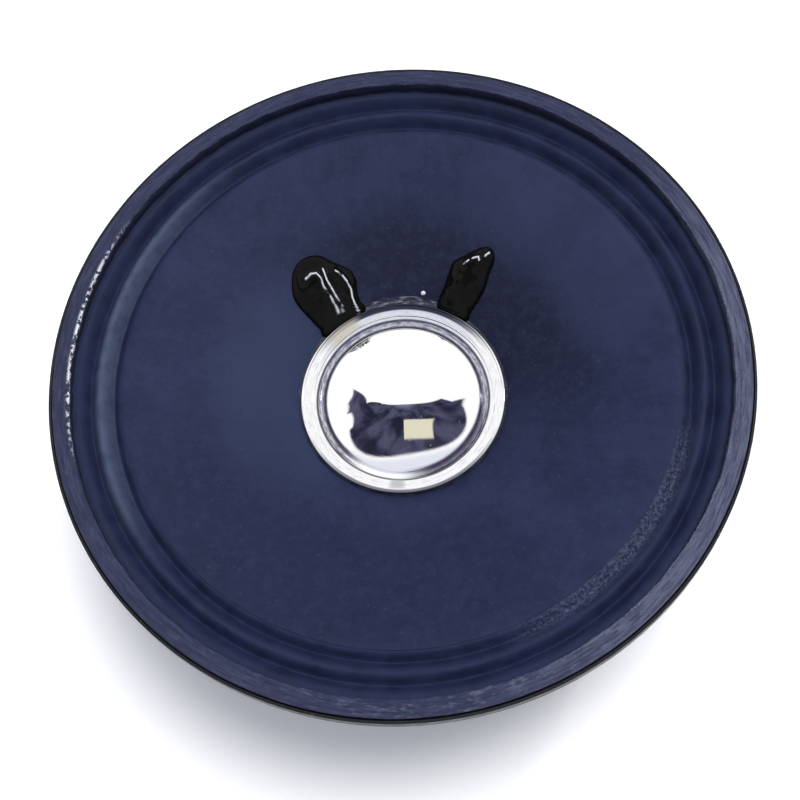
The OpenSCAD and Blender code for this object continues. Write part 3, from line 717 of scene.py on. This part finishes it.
# Dabs of black glue over the lead joints: an outline, and ridges with their width and height.
# Points are (radius, degrees from the +Y side)
DABS = {
    "left": (
        [(12, -45), (13.2, -45.4), (14.6, -45.2), (16.1, -45), (17.4, -43.9), (18.6, -41), (19.7, -37),
         (20.1, -32.8), (19.9, -28.7), (19.3, -25.9), (18.3, -23.4), (17.4, -20.4), (16.6, -18), (15.5, -17.4),
         (14.5, -18.6), (13.4, -19.2), (12, -19.4)],
        [([(18.2, -36.1), (18.3, -33.4), (18, -31.5), (17.3, -31.1), (16.4, -32), (15.3, -31.9), (14.2, -32.3),
           (13.4, -32.6)], 0.2, 0.26),
         ([(18, -28.5), (16.8, -29.4), (15.4, -29.5), (14.2, -29.7), (13.3, -30)], 0.2, 0.28),
         ([(17.2, -26.9), (16.2, -26.9)], 0.34, 0.22),
         ([(17.3, -24.3), (16.7, -22.7), (15.8, -21.8), (14.9, -21.5), (14.1, -22.6), (13.4, -22.8), (12.6, -22.5)],
          0.26, 0.34)],
    ),
    "right": (
        [(12, 24), (13.3, 22.6), (14.6, 23.4), (16.2, 23.6), (17.1, 23.9), (17.7, 25.4), (18.3, 27.6),
         (19.1, 30), (19.8, 32.4), (20.1, 34.8), (19.8, 37), (18.9, 38.6), (17.5, 39.5), (16, 41.1),
         (14.5, 41.6), (13.2, 41.3), (12, 41)],
        [([(17.5, 29.2), (18, 30.4)], 0.22, 0.22), ([(18.3, 31.6), (18.7, 33.4), (18.4, 34.3)], 0.24, 0.3),
         ([(19.2, 35.4), (19.8, 36)], 0.22, 0.26), ([(13.5, 30), (15.5, 29)], 0.5, 0.16)],
    ),
}


def plan(points):
    """Points of the plan from radii and degrees from the +Y side"""
    r, degrees = np.array(points).T
    a = np.radians(degrees)
    return np.stack([r * np.sin(a), r * np.cos(a)], -1)


def smooth_loop(points, steps):
    """A closed smooth curve through some points"""
    made = []
    for i in range(len(points)):
        a, b, c, d = (points[(i + k) % len(points)] for k in (-1, 0, 1, 2))
        for t in np.arange(steps) / steps:
            square, cube = 2 * a - 5 * b + 4 * c - d, 3 * b - a - 3 * c + d
            made.append(0.5 * (2 * b + (c - a) * t + square * t * t + cube * t ** 3))
    return np.array(made)


def distance_to(points, line):
    """The distance of each point to a line of several points"""
    best = np.full(len(points), 1e9)
    for a, b in zip(line, line[1:]):
        t = np.clip(((points - a) @ (b - a)) / max((b - a) @ (b - a), 1e-9), 0, 1)
        best = np.minimum(best, norm(points - a - t[:, None] * (b - a), axis=1))
    return best


def on_shell(flat, h):
    """The points h over the cone's face, above points of the plan"""
    r = np.hypot(flat[:, 0], flat[:, 1])
    rr, z = on_cone(r, CONE_T / 2 + h)
    return np.stack([flat[:, 0] * rr / r, flat[:, 1] * rr / r, z], 1)


def make_dab(side):
    outline, ridges = DABS[side]
    loop = smooth_loop(plan(outline), 14)
    middle, rings = loop.mean(0), 52
    shares = np.repeat(1 - (np.arange(rings + 1) / rings) ** 1.4, len(loop))
    surface = middle + shares[:, None] * (np.tile(loop, (rings + 1, 1)) - middle)
    heights = 1.25 * np.maximum(1 - shares ** 2.6, 0) ** 0.55
    inside = between(heights, 0, 0.6)
    heights = heights * (1 + 0.16 * perlin(surface[:, 0], surface[:, 1], 0 * heights, 2.6, 6))
    for line, width, height in ridges:
        heights = heights + inside * height * np.exp(-((distance_to(surface, plan(line)) / width) ** 2))
    top = on_shell(surface, np.minimum(heights, 1.62))
    bottom = on_shell(surface, -0.04)
    name = "lead_dab_" + side
    rows = np.vstack([bottom[::-1], top]).reshape(-1, len(loop), 3)
    piece = build(name + "_glue", [grid(rows)], 60)
    made = points_of(piece)
    crest = np.zeros(len(made))
    for line, width, height in ridges:
        # Only the sharp ridges get painted highlights, along a line near their tops
        if width <= 0.3:
            away = distance_to(made[:, :2], on_shell(plan(line), 1.4)[:, :2])
            crest = np.maximum(crest, between(away, 0.13, 0.03))
    mark_crest(piece, crest)
    dress(piece, "black_glue", "cone_assembly", name)


# Basket: the slope between its floor and its wall carries the windows
DECK_R, DECK_Z, WALL_R, WALL_Z = 19.45, 18.7, 36.0, 27.1
TILT = (WALL_Z - DECK_Z) / (WALL_R - DECK_R)
BASKET_LINE = [
    (9.75, 15.3), (15.65, 15.3), (16.25, DECK_Z), (DECK_R, DECK_Z), (WALL_R, WALL_Z), (WALL_R, 30.8),
    (38.2, 30.8), (38.2, 31.5), (38.28, 32.2), (38.28, 32.6),
]
WINDOW_IN, WINDOW_OUT, ARM_HALF, CORNER = 21.05, 34.1, 5.0, 1.5
# The four cells round the windows fill the ring between these radii
CELL_IN, CELL_OUT = 20.3, 34.9
SHEET_HALF = 0.3


def slope_z(r):
    return DECK_Z + (r - DECK_R) * TILT


def window_sides():
    """The sides of the window in the quarter round +X+Y, each from the middle of a corner"""
    ends = [asin(ARM_HALF / r) for r in (WINDOW_IN, WINDOW_OUT)]
    arcs = [
        on_plan(WINDOW_IN, np.linspace(ends[0], QUARTER - ends[0], 60)),
        on_plan(WINDOW_OUT, np.linspace(QUARTER - ends[1], ends[1], 90)),
    ]
    flat = np.vstack(arcs)
    corners = [0, len(arcs[0]) - 1, len(arcs[0]), len(flat) - 1]
    parts = 8
    loop, marks = [], []
    for i, p in enumerate(flat):
        if i in corners:
            marks.append(len(loop) + parts // 2)
            loop.extend(corner_curve(flat[i - 1], p, flat[(i + 1) % len(flat)], (CORNER, CORNER), parts))
        elif all(norm(p - flat[c]) > CORNER for c in corners):
            loop.append(p)
    loop = np.roll(loop, -marks[0], axis=0)
    marks = [m - marks[0] for m in marks] + [len(loop)]
    loop = np.vstack([loop, loop[:1]])
    return [loop[a:b + 1] for a, b in zip(marks, marks[1:])]


def raised(flat, height):
    """Points over the plan, at a height along the slope's own normal, with a pressed rib in three arms"""
    r, a = np.hypot(flat[:, 0], flat[:, 1]), np.arctan2(flat[:, 1], flat[:, 0])
    length = between(r, 22.2, 23.4) * between(r, 33.0, 31.8)
    rib = np.zeros(len(flat))
    for turn in (0, TAU / 2, -QUARTER):
        width = between(np.abs(r * np.sin(a - turn)), 2.3, 1.3)
        rib = np.maximum(rib, (np.cos(a - turn) > 0) * smooth(width * length))
    up, lean = height + 0.55 * rib, atan(TILT)
    rr = r - up * sin(lean)
    return np.stack([flat[:, 0] * rr / r, flat[:, 1] * rr / r, slope_z(r) + up * cos(lean)], 1)


def make_basket():
    line = bend(BASKET_LINE, 0.7, 6)
    inner = resample(np.vstack([line[line[:, 0] < CELL_IN], [CELL_IN, slope_z(CELL_IN)]]), 0.5)
    outer = resample(np.vstack([[CELL_OUT, slope_z(CELL_OUT)], line[line[:, 0] > CELL_OUT]]), 0.4)
    across, along = 88, 28
    angles = even_angles(4 * across)
    grids = []
    # Both faces of the floor and of the wall, with a round edge at one end. The lip thins out upwards
    for part, turned_round in ((inner, 1), (outer, -1)):
        side = turned_round * normals(part)[::turned_round]
        part = part[::turned_round]
        thin = SHEET_HALF - 0.1 * between(part[:, 1:], 31.1, 32.2)
        away, here = side[0], part[0]
        ahead = np.array([away[1], -away[0]])
        ahead = ahead if ahead @ (here - part[1]) > 0 else -ahead
        turns = np.linspace(0, pi, 7)[1:-1]
        edge = [here + thin[0] * (cos(a) * away + sin(a) * ahead) for a in turns]
        outline = np.vstack([(part + thin * side)[::-1], edge, part - thin * side])
        grids.append(grid([circle(r, z, angles) for r, z in outline]))

    window = np.vstack([
        walk(side, lambda length: np.linspace(0, length, parts + 1)[:-1])[1]
        for side, parts in zip(window_sides(), (across, along, across, along))
    ])
    arc, spoke = np.linspace(0, QUARTER, across + 1), np.linspace(CELL_IN, CELL_OUT, along + 1)
    cell = np.vstack([
        on_plan(CELL_IN, arc[:-1]), on_plan(spoke[:-1], QUARTER),
        on_plan(CELL_OUT, arc[:0:-1]), on_plan(spoke[:0:-1], 0),
    ])
    reach = norm(cell - window, axis=1)[:, None]
    # How far each row of a cell is from the window's edge, which is rounded, and its height in half sheets
    rounding = 0.14
    shares = (0.06, 0.16, 0.3, 0.48, 0.66, 0.83, 1.0)
    steps = [rounding] + [share * (reach - rounding) + rounding for share in shares]
    edge = [(0.3 * rounding, 0.7), (0.0, 0.0), (0.3 * rounding, -0.7)]
    section = [(step, 1) for step in steps[::-1]] + edge + [(step, -1) for step in steps]
    for c, s in ((1, 0), (0, 1), (-1, 0), (0, -1)):
        spun = np.array([[c, s], [-s, c]])
        rows = (((window + (cell - window) * step / reach) @ spun, up) for step, up in section)
        grids.append(grid([raised(flat, SHEET_HALF * up) for flat, up in rows]))
    dress(build("basket_shell", grids, 40), "black_paint", "frame", "basket")


# Magnet system
def turned(name, finish, node, corners):
    """A turned piece from the corners of its outline, (r, z, rounding)"""
    flat = [np.array(c[:2], float) for c in corners]
    outline = []
    for i, p in enumerate(flat):
        reach = corners[i][2]
        after = flat[(i + 1) % len(flat)]
        outline.extend(corner_curve(flat[i - 1], p, after, (reach, reach), 4) if reach else [p])
    return dress(spin(name, outline, 240, None, 50), finish, "frame", node)


def make_plate(name, node, low, high, hole, edge):
    """A steel disc with chamfered rims"""
    rim, rounding, cut = 20.5, 0.12, 0.5
    turned(name, "zinc_plated_steel", node, [
        (hole, low, edge), (rim - cut, low, rounding), (rim, low + cut, rounding),
        (rim, high - cut, rounding), (rim - cut, high, rounding), (hole, high, edge),
    ])


def make_magnet():
    make_plate("back_plate_disc", "back_plate", 0.0, MAGNET_Z, 4.5, 0.05)
    make_plate("top_plate_disc", "top_plate", MAGNET_TOP, TOP_PLATE_TOP, 7.95, 0.08)
    turned("pole_post", "zinc_plated_steel", "pole_piece", [
        (0, 0.55, 0), (3.1, 0.55, 0.05), (3.3, 0.3, 0.08), (3.9, 0.3, 0.08), (4.1, 0.5, 0.05),
        (4.5, 0.5, 0.04), (4.5, MAGNET_Z, 0.02), (6.6, MAGNET_Z, 0.05), (6.6, 14.7, 0.12),
        (6.1, POLE_TOP, 0.12), (0, POLE_TOP, 0),
    ])
    hole, rim, cut = 11.0, 22.5, 0.5
    outline = [
        (hole, MAGNET_Z), (rim - cut, MAGNET_Z), (rim, MAGNET_Z + cut),
        (rim, MAGNET_TOP - cut), (rim - cut, MAGNET_TOP), (hole, MAGNET_TOP),
    ]

    def chipped(r, z, a):
        edge = between(r, 21.9, 22.3) * (between(z, 4.4, 4.0) + between(z, 10.6, 11.0))
        chips = np.clip(lumps(r, z, a, 1.3, 9) - 0.22, 0, 1) * 1.1
        return r - edge * chips - 0.012 * np.abs(lumps(r, z, a, 0.5, 10)) * (r > 22), z

    piece = spin("magnet_ferrite", closed_outline(outline, 0.35), 720, chipped, 50)
    dress(piece, "ferrite", "frame", "magnet_ring")


def make_rivets():
    outline = [
        (0.0, 11.5), (1.2, 11.5), (1.2, 15.6), (1.95, 15.62), (2.0, 15.75), (1.75, 16.05), (1.1, 16.27),
        (0.5, 16.3), (0.35, 16.16), (0.0, 16.12),
    ]
    outline = np.vstack([outline[:1], bend(outline[1:], 0.12, 3)])
    steps, pitch_r = 40, 12.05
    grids = []
    for turn in range(4):
        at = (pitch_r * sin(turn * QUARTER), pitch_r * cos(turn * QUARTER))
        grids.append(grid([circle(r, z, even_angles(steps), at) for r, z in outline]))
    dress(build("frame_rivet_set", grids, 40), "rivet_steel", "frame", "frame_rivets")


# Voice coil
def make_coil():
    turns, low, high, former_r, wire_r = 31, 10.0, 16.5, 7.21, 0.105
    wire = (high - low) / turns
    outline = [(former_r, low)]
    for k in range(turns):
        for a in np.radians((-60, -30, 0, 30, 60)):
            outline.append((7.44 + wire_r * cos(a), low + wire * (k + 0.5) + wire / 2 * sin(a)))
    outline.append((former_r, high))
    piece = spin("voice_coil_turns", outline, 240, None, 80)
    dress(piece, "enamelled_copper", "cone_assembly", "voice_coil_winding")
    tube = closed_outline([(7.0, 9.6), (7.2, 9.6), (7.2, 21.25), (7.0, 21.25)], 0.5)
    dress(spin("voice_coil_tube", tube, 240), "coil_paper", "cone_assembly", "voice_coil_former")


# Terminals
ARM_Y, ARM_Z = 26.58, 21.92
LUG_X, BARREL_Y = 8.0, -2.25
SIDES = {"left": -1, "right": 1}


def off_arm(points):
    """From the terminal board's own frame to the part's"""
    c, s = cos(ARM_SLOPE), sin(ARM_SLOPE)
    x, y, z = np.moveaxis(np.array(points, float), -1, 0)
    return np.stack([x, ARM_Y + y * c - z * s, ARM_Z + y * s + z * c], -1)


def softened(name, node, finish, width):
    """A copy of a CAD node with clean flat faces and rounded edges"""
    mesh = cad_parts[node].data.copy()
    mesh.name = name
    work = bmesh.new()
    work.from_mesh(mesh)
    bmesh.ops.remove_doubles(work, verts=work.verts, dist=1e-6)
    bmesh.ops.dissolve_limit(work, angle_limit=radians(2), verts=work.verts, edges=work.edges)
    edges = [e for e in work.edges if e.calc_face_angle(0) > radians(35)]
    bmesh.ops.bevel(
        work, geom=edges, offset=width * MM, segments=3, profile=0.5, affect="EDGES", clamp_overlap=True,
    )
    return dress(link_piece(name, mesh, work, 50), finish, "frame", node)


def make_terminals():
    softened("terminal_board_plate", "terminal_board", "phenolic_board", 0.12)
    for side in SIDES:
        softened("terminal_lug_" + side + "_strip", "terminal_lug_" + side, "tinned_brass", 0.08)
    outline = [
        (0.0, -2.14), (0.5, -2.14), (0.7, -2.2), (1.5, -2.12), (2.05, -1.85), (2.2, -1.66), (1.2, -1.6),
        (1.2, 0.7), (2.2, 0.76), (2.05, 0.98), (1.5, 1.22), (0.0, 1.3),
    ]
    outline = np.vstack([outline[:1], bend(outline[1:-1], 0.15, 3), outline[-1:]])
    piece = spin("board_rivet_body", outline, 64)
    piece.data.transform(Matrix.Translation((0, ARM_Y * MM, ARM_Z * MM)) @ Matrix.Rotation(ARM_SLOPE, 4, "X"))
    dress(piece, "brass_rivet", "frame", "board_rivet")
    for side in SIDES:
        make_solder(side)


def make_solder(side):
    """A fillet of solder that climbs the braid"""
    steps, sign = 64, SIDES[side]
    angles, at = even_angles(steps), (sign * LUG_X, BARREL_Y)
    bulge = 0.06 * ring_noise(angles, 20 + sign, 2, 5)
    profile = [
        (1.72, 0.0), (1.7, 0.1), (1.62, 0.32), (1.45, 0.62), (1.15, 0.95), (0.85, 1.2), (0.62, 1.36),
        (0.5, 1.47), (0.4, 1.5),
    ]
    rows = [circle(r, z, angles, at) for r, z in ((0.0, 0.31), (1.0, 0.31), (1.0, 0.0))]
    rows += [circle(r + bulge * r, z, angles, at) for r, z in bend(profile, 0.2, 3)]
    rows += [circle(r, z, angles, at) for r, z in ((0.3, 1.4), (0.0, 1.38))]
    dress(build("solder_" + side + "_bead", [grid(off_arm(rows))], 50), "solder", "frame", "solder_" + side)


# Braided leads
def lead_path(sign):
    """The lead's middle line from its stub over the cone to its foot in the solder"""
    at, angle = 16.15, radians(33)
    x, y = at * sin(angle), at * cos(angle)
    top = np.array([x, y, on_cone(at, CONE_T / 2)[1] + 0.7])
    through = np.array([x, y, on_cone(at, -CONE_T / 2)[1] - 0.6])
    foot, over = off_arm([LUG_X, BARREL_Y, 0.9]), off_arm([LUG_X, BARREL_Y, 2.1])
    up = np.array([0, -sin(ARM_SLOPE), cos(ARM_SLOPE)])
    a, b, c, d = through, through - [0, 0, 4.2], over + 3.6 * up, over
    curve = [
        (1 - t) ** 3 * a + 3 * t * (1 - t) ** 2 * b + 3 * t * t * (1 - t) * c + t ** 3 * d
        for t in np.linspace(0, 1, 90)
    ]
    return np.array([top] + curve + [foot]) * (sign, 1, 1)


def make_lead(side):
    even, line = walk(resample(lead_path(SIDES[side]), 0.1), lambda length: np.arange(0, length, 0.11))
    run = unit(np.gradient(line, axis=0))
    across = unit(np.cross(run, [1, 0, 0]))
    up = np.cross(across, run)
    strands, pitch, sides, thick, broad = 6, 3.0, 6, 0.075, 0.14
    grids = []
    # Half of the strands wind one way and half the other, over and under each other
    for way in (1, -1):
        for k in range(strands):
            turn = way * even / pitch * TAU + k * TAU / strands
            lift = 0.33 + 0.035 * way * np.sin(even / pitch * TAU * strands)
            centre = line + lift[:, None] * (np.cos(turn)[:, None] * across + np.sin(turn)[:, None] * up)
            out = unit(centre - line)
            wide = np.cross(unit(np.gradient(centre, axis=0)), out)
            ring = [centre + thick * cos(a) * out + broad * sin(a) * wide for a in even_angles(sides)]
            points, faces = grid(np.stack(ring, 1))
            last = len(points) - sides
            faces += [tuple(range(sides))[::-1], tuple(range(last, last + sides))]
            grids.append((points, faces))
    name = "braided_lead_" + side
    piece = build(name + "_strands", grids, 60)
    dress(piece, "copper_braid", None, name)

    def share(p):
        # The nearest point of the middle line says how far along the lead a point is
        nearest = np.array([np.argmin(((line - q) ** 2).sum(1)) for q in p])
        return between(even[nearest], even[-1] - 2.4, 2.6)

    flex(piece, share)


make_cone()
make_surround()
make_gasket()
make_spider()
make_cap()
make_cap_glue()
for side in SIDES:
    make_dab(side)
make_basket()
make_magnet()
make_rivets()
make_coil()
make_terminals()
for side in SIDES:
    make_lead(side)

# The CAD nodes that stay
dress(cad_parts["neck_glue"], "clear_glue")
for side in SIDES:
    dress(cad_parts["coil_wire_" + side], "enamelled_copper")


# Floor, world and lamp
def make_floor():
    """Pale for the object, and a little brighter for the camera, so that only real shade shows"""
    mesh = bpy.data.meshes.new("floor")
    size, low = 1.5, -2e-5
    corners = [(x * size, y * size, low) for x, y in ((-1, -1), (1, -1), (1, 1), (-1, 1))]
    mesh.from_pydata(corners, [], [(0, 1, 2, 3)])
    material = bpy.data.materials.new("floor")
    material.use_nodes = True
    material.node_tree.nodes.clear()
    n = Nodes(material.node_tree)
    plain = n.node("BsdfDiffuse", {"Color": (0.9, 0.9, 0.92)}).outputs[0]
    bright = n.node("BsdfDiffuse", {"Color": (1.24, 1.24, 1.26)}).outputs[0]
    seen = n.node("LightPath").outputs["Is Camera Ray"]
    n.node("OutputMaterial", {0: n.node("MixShader", {0: seen, 1: plain, 2: bright}).outputs[0]})
    mesh.materials.append(material)
    add_object("floor", mesh)


def make_world():
    """White for the camera, a soft light from above, and for gloss a white room with a dark panel"""
    world = bpy.data.worlds.new("studio")
    bpy.context.scene.world = world
    world.use_nodes = True
    world.node_tree.nodes.clear()
    n = Nodes(world.node_tree)

    def leaning(a, b, share):
        """a + share * b"""
        return n.math("ADD", a, n.times(b, share))

    x, y, z = n.split(n.node("TexCoord").outputs["Generated"])
    up = n.math("MAXIMUM", z, 0.05)
    # Places on a flat ceiling one metre over the object
    u, v = n.math("DIVIDE", x, up), n.math("DIVIDE", y, up)

    def far_from(centre_u, centre_v):
        return n.length(n.math("SUBTRACT", u, centre_u), n.math("SUBTRACT", v, centre_v))

    def left_of(a, b, soft):
        """1 on the left of the line from a to b"""
        length = hypot(b[0] - a[0], b[1] - a[1])
        nu, nv = (a[1] - b[1]) / length, (b[0] - a[0]) / length
        return n.band(leaning(leaning(-(nu * a[0] + nv * a[1]), u, nu), v, nv), -soft, soft)

    def inside(corners, soft):
        """1 inside a shape with straight sides, its corners given against the clock"""
        return n.times(*[left_of(a, b, soft) for a, b in zip(corners, corners[1:] + corners[:1])])

    # The dark panel: a bowl between two circles, with a tip and a neck on its left and a tip on its right
    edge = 0.005
    over, under = far_from(-0.03, 0.73), far_from(-0.058, 0.524)
    bowl = n.times(
        n.band(under, 0.953, 0.948), n.band(over, 0.939 - edge, 0.939 + edge),
        left_of((0.9, 0.3), (-0.7, 0.06), 0.015),
    )
    left_tip = inside([(-1.13, 0.86), (-1.08, 0.5), (-1.005, 0.28), (-0.925, 0.28)], edge)
    left_neck = inside(
        [(-1.01, 0.31), (-0.89, 0.08), (-0.83, -0.03), (-0.69, 0.05), (-0.7, 0.07), (-0.92, 0.31)], edge,
    )
    right_tip = inside([(0.91, 0.42), (0.77, 0.17), (0.74, 0.02), (0.793, 0.1), (0.873, 0.31)], edge)
    dark = bowl
    for part in (left_tip, left_neck, right_tip):
        dark = n.math("MAXIMUM", dark, part)
    dark = n.times(dark, n.band(z, 0.3, 0.36))
    # Its mottled face, paler at the top middle, and a pale card
    place = n.join(u, n.times(over, 5))
    pattern = {"Vector": place, "Scale": 3.6, "Detail": 3, "Roughness": 0.55}
    mottle = n.node("TexNoise", pattern).outputs[0]
    tone = n.mix(n.band(mottle, 0.35, 0.68), (0.018, 0.018, 0.04), (0.085, 0.085, 0.15))
    pale = n.times(n.band(over, 1.02, 0.94), n.band(n.math("ABSOLUTE", u), 0.5, 0.1))
    tone = n.mix(pale, tone, (0.19, 0.2, 0.31))
    card = n.times(
        n.band(far_from(-0.046, 0.609), 0.951 - 0.003, 0.951 + 0.003),
        n.band(far_from(-0.045, 0.5505), 0.9506 + 0.003, 0.9506 - 0.003),
        inside([(-0.01, -0.25), (-0.075, -0.45), (0.2, -0.48), (0.58, -0.1)], 0.004),
    )
    tone = n.mix(card, tone, (0.76, 0.73, 0.56))
    # The room is white, and a little lavender below the panel
    below = n.times(n.band(under, 0.95, 0.96), n.band(v, -0.1, -0.3))
    room = n.mix(below, (1.05, 1.05, 1.05), (0.78, 0.81, 0.9))
    shade = n.mix(dark, room, tone)

    def toward_light(x0, y0, z0, low, high):
        """1 in the middle of a soft light in the direction (x0, y0, z0), between two cosines"""
        aim = Vector((x0, y0, z0)).normalized()
        return n.band(leaning(leaning(n.times(x, aim.x), y, aim.y), z, aim.z), low, high)

    # Little light comes in low from the near side
    high = leaning(0.33, n.band(y, -0.8, 0.1), 0.22)
    fill = leaning(high, toward_light(0.34, 0.12, 0.93, 0.4, 0.96), 0.12)
    key = n.times(toward_light(0.17, 0.06, 0.98, 0.975, 0.998), 19.0)

    def background(color, strength=1):
        return n.node("Background", {"Color": color, "Strength": strength}).outputs[0]

    soft, strong = background((0.93, 0.96, 1.05), fill), background((1, 0.99, 0.97), key)
    light = n.node("AddShader", {0: soft, 1: strong})
    ray = n.node("LightPath").outputs
    seen = n.node("MixShader", {0: ray["Is Glossy Ray"], 1: light.outputs[0], 2: background(shade)})
    seen = n.node("MixShader", {0: ray["Is Camera Ray"], 1: seen.outputs[0], 2: background((1, 1, 1))})
    n.node("OutputWorld", {0: seen.outputs[0]})


def make_lamp():
    data = bpy.data.lights.new("key", "AREA")
    data.shape = "SQUARE"
    data.size = 0.035
    data.energy = 0.3
    lamp = add_object("key", data)
    lamp.location = (0.3, 0.2, 0.5)
    aim = Vector((0, 0, 0.02)) - lamp.location
    lamp.rotation_mode = "QUATERNION"
    lamp.rotation_quaternion = aim.to_track_quat("-Z", "Y")


make_floor()
make_world()
make_lamp()
